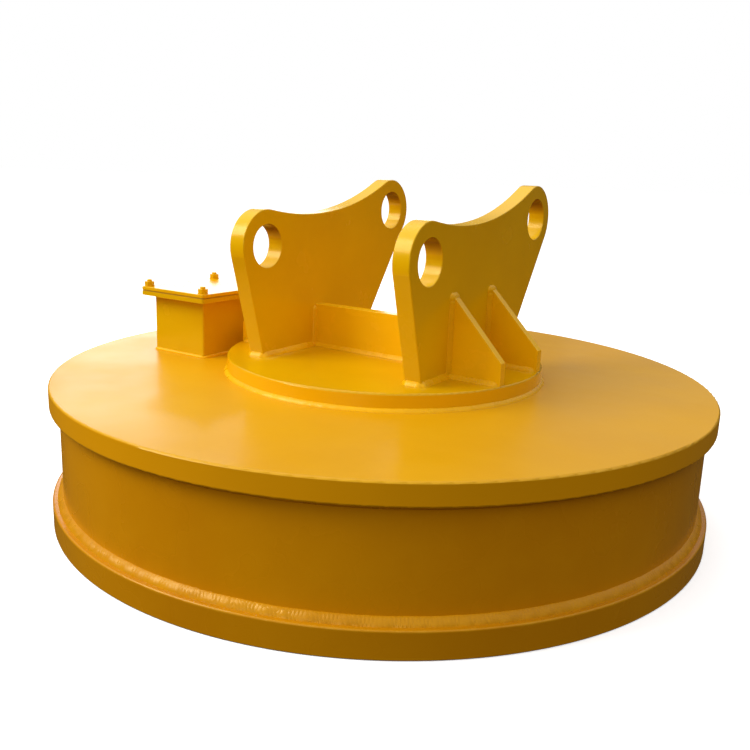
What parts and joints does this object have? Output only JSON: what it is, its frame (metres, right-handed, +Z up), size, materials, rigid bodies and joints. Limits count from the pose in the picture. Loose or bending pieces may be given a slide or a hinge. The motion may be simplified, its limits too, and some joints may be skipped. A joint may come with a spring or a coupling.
{
  "type": "lifting magnet",
  "caption": "Round scrap-lifting electromagnet with two braced ear plates for an excavator's pins and a studded terminal box on its top plate.",
  "frame": {"origin": "centre of the foot: on the magnet's axis, in the plane of the pole faces", "axes": "+Z up along the magnet's axis, +X along the hanging pins from the terminal box side, +Y from the front pin to the rear pin"},
  "size_m": [1.204, 1.204, 0.596],
  "materials": {
    "yellow_paint": "glossy orange-yellow enamel over steel plate",
    "painted_fasteners": "overpainted steel fasteners",
    "pole_steel": "machined mild steel",
    "black_bolts": "black oxide",
    "cover_steel": "rolled non-magnetic manganese steel",
    "coil_aluminium": "wound strip",
    "insulation_board": "resin-bonded glass laminate",
    "potting_resin": "cast resin",
    "black_rubber": "moulded",
    "terminal_brass": "turned",
    "gland_brass": "nickel-plated"
  },
  "bodies": {
    "magnet": {"top_plate": "yellow_paint", "outer_shell": "yellow_paint", "pole_shoe_segment_1": "yellow_paint", "pole_shoe_segment_2": "yellow_paint", "pole_shoe_segment_3": "yellow_paint", "pole_shoe_segment_4": "yellow_paint", "pole_shoe_segment_5": "yellow_paint", "pole_shoe_segment_6": "yellow_paint", "pole_shoe_segment_7": "yellow_paint", "pole_shoe_segment_8": "yellow_paint", "inner_pole_shoe": "pole_steel", "core": "pole_steel", "pole_shoe_bolts": "black_bolts", "coil_cover": "cover_steel", "lower_insulation": "insulation_board", "upper_insulation": "insulation_board", "lower_coil": "coil_aluminium", "middle_coil": "coil_aluminium", "upper_coil": "coil_aluminium", "coil_separators": "insulation_board", "coil_jumpers": "coil_aluminium", "core_sleeve": "insulation_board", "coil_wrap": "insulation_board", "potting": "potting_resin", "mounting_disc": "yellow_paint", "left_ear": "yellow_paint", "right_ear": "yellow_paint", "cross_plate": "yellow_paint", "right_gusset_front": "yellow_paint", "right_gusset_rear": "yellow_paint", "left_gusset_front": "yellow_paint", "left_gusset_rear": "yellow_paint", "terminal_box": "yellow_paint", "box_flange": "yellow_paint", "lid_gasket": "black_rubber", "lid_studs": "painted_fasteners", "gland_body": "gland_brass", "gland_seal": "black_rubber", "gland_cap_nut": "gland_brass", "gland_locknut": "gland_brass", "lead_bushings": "insulation_board", "lead_studs": "terminal_brass", "terminal_board": "insulation_board", "board_pillars": "insulation_board", "board_screws": "black_bolts", "terminal_washers": "terminal_brass", "terminal_nuts": "terminal_brass"},
    "lid": {"terminal_lid": "yellow_paint", "lid_washers": "painted_fasteners", "lid_nuts": "painted_fasteners"}
  },
  "joints": [
    {"name": "lid_lift", "type": "slide", "parent": "magnet", "child": "lid", "axis": [0, 0, 1], "range_m": [0, 0.15]}
  ]
}
